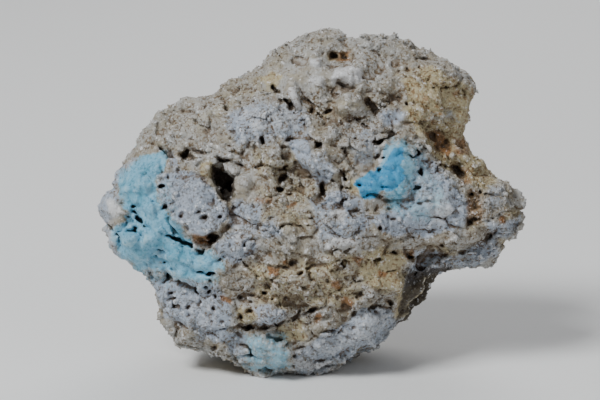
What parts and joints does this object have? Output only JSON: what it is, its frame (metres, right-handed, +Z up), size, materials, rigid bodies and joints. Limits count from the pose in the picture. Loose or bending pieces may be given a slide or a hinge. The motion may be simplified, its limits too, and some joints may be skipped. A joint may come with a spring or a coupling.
{
  "type": "hemimorphite mineral specimen",
  "caption": "Loose, vuggy piece of pale host rock with sky-blue hemimorphite crusts, standing on a flat foot.",
  "frame": {"origin": "centre of the footprint of the bounding box, at the level the rock stands on", "axes": "+Z up, +X along the rock's longest side towards its wedge-shaped tip, -Y towards the viewer of the broad face"},
  "size_m": [0.088, 0.045, 0.0698],
  "materials": {
    "host_rock": "rough, vuggy, pale beige-grey rock with ochre, rust and lavender-white parts",
    "blue_crust": "sky-blue, fine-grained botryoidal crust with a chalky to waxy surface"
  },
  "bodies": {
    "root": {"matrix": "host_rock", "blue_crust_left": "blue_crust", "blue_crust_centre": "blue_crust", "blue_crust_foot": "blue_crust"}
  },
  "joints": []
}
